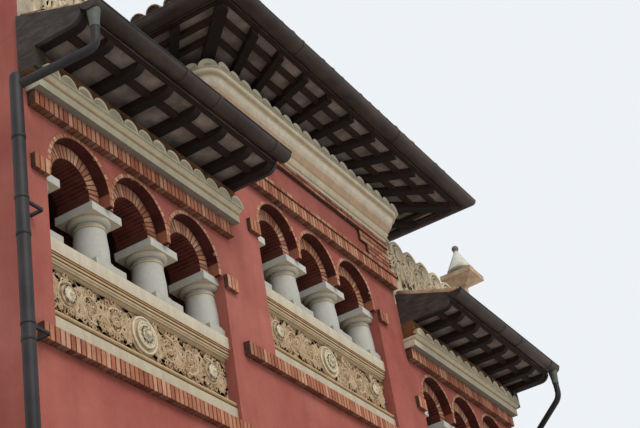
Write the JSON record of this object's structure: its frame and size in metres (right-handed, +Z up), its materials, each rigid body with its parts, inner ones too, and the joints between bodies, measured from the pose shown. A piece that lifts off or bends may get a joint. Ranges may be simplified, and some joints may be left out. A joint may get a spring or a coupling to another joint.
{
  "type": "gallery front of a row house",
  "caption": "Top-storey front of a row house: raised tower bay and lower side bays, each an arcaded gallery with carved parapet, brick strings and deep timber eaves.",
  "frame": {"origin": "centre of the footprint of the whole piece, on the ground it stands on", "axes": "+Z up, +X along the front to the right as seen from the street, -Y towards the street"},
  "size_m": [10.01, 2.944, 6.2993],
  "materials": {
    "wall_render": "matt limewashed render",
    "party_render": "rough plain render",
    "floor_screed": "plain screed",
    "brick": "rough hand-made brick with lime joints",
    "column_stone": "honed pale limestone",
    "parapet_stone": "carved stone with a lime wash",
    "cornice_stone": "run mouldings with a lime wash",
    "tile_end": "limewashed clay",
    "timber": "weathered dark oak",
    "eave_board": "grey weathered boards",
    "roof_tile": "weathered clay with lichen",
    "gutter_metal": "dull brown paint",
    "pipe_iron": "dull grey",
    "crest_stone": "weathered stone"
  },
  "bodies": {
    "root": {"wall_left": "wall_render", "wall_tower": "wall_render", "wall_right": "wall_render", "party_walls": "party_render", "back_wall": "party_render", "tower_side_walls": "party_render", "gallery_floors": "floor_screed", "upper_decks": "floor_screed", "arch_rings": "brick", "arch_orders_left": "brick", "arch_orders_tower": "brick", "arch_orders_right": "brick", "columns_left": "column_stone", "columns_tower": "column_stone", "columns_right": "column_stone", "parapet_left": "parapet_stone", "parapet_tower": "parapet_stone", "parapet_right": "parapet_stone", "carved_panels": "parapet_stone", "brick_base_courses": "brick", "brick_upper_courses": "brick", "impost_blocks": "brick", "tower_string": "brick", "tower_quoins": "brick", "tower_top_course": "brick", "side_cornices": "cornice_stone", "tower_cornice": "cornice_stone", "tile_row_sides": "tile_end", "tile_row_tower": "tile_end", "wall_plates": "timber", "rafters_left": "timber", "rafters_tower": "timber", "rafters_right": "timber", "verge_boards": "timber", "eave_battens": "timber", "eave_boards_sides": "eave_board", "eave_boards_tower": "eave_board", "side_roofs": "roof_tile", "tower_roof": "roof_tile", "gutters_sides": "gutter_metal", "gutter_tower": "gutter_metal", "downpipes": "pipe_iron", "cresting": "crest_stone", "pinnacles": "crest_stone"}
  },
  "joints": []
}
